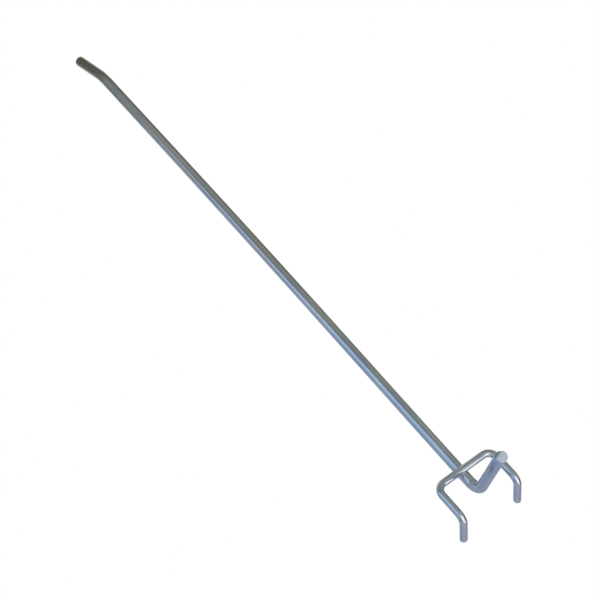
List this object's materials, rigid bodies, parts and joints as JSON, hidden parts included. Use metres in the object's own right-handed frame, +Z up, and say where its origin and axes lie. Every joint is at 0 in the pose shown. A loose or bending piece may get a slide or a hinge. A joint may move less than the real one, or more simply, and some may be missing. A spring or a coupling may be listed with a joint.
{
  "type": "shelving hook",
  "caption": "Straight wire display hook for a perforated shelving panel, with a raised tip, welded upturned pegs and a brace leg that bears on the panel.",
  "frame": {"origin": "on the panel's front face, midway between the two arms and at the height of their axes", "axes": "+Z up as it hangs, +Y into the panel, the prong reaches out along -Y, +X to the right seen from in front"},
  "size_m": [0.0278, 0.2517, 0.0408],
  "materials": {
    "zinc_plate": "bright zinc plate over drawn wire, blue passivated"
  },
  "bodies": {
    "root": {"prong_rod": "zinc_plate", "peg_staple": "zinc_plate"}
  },
  "joints": []
}
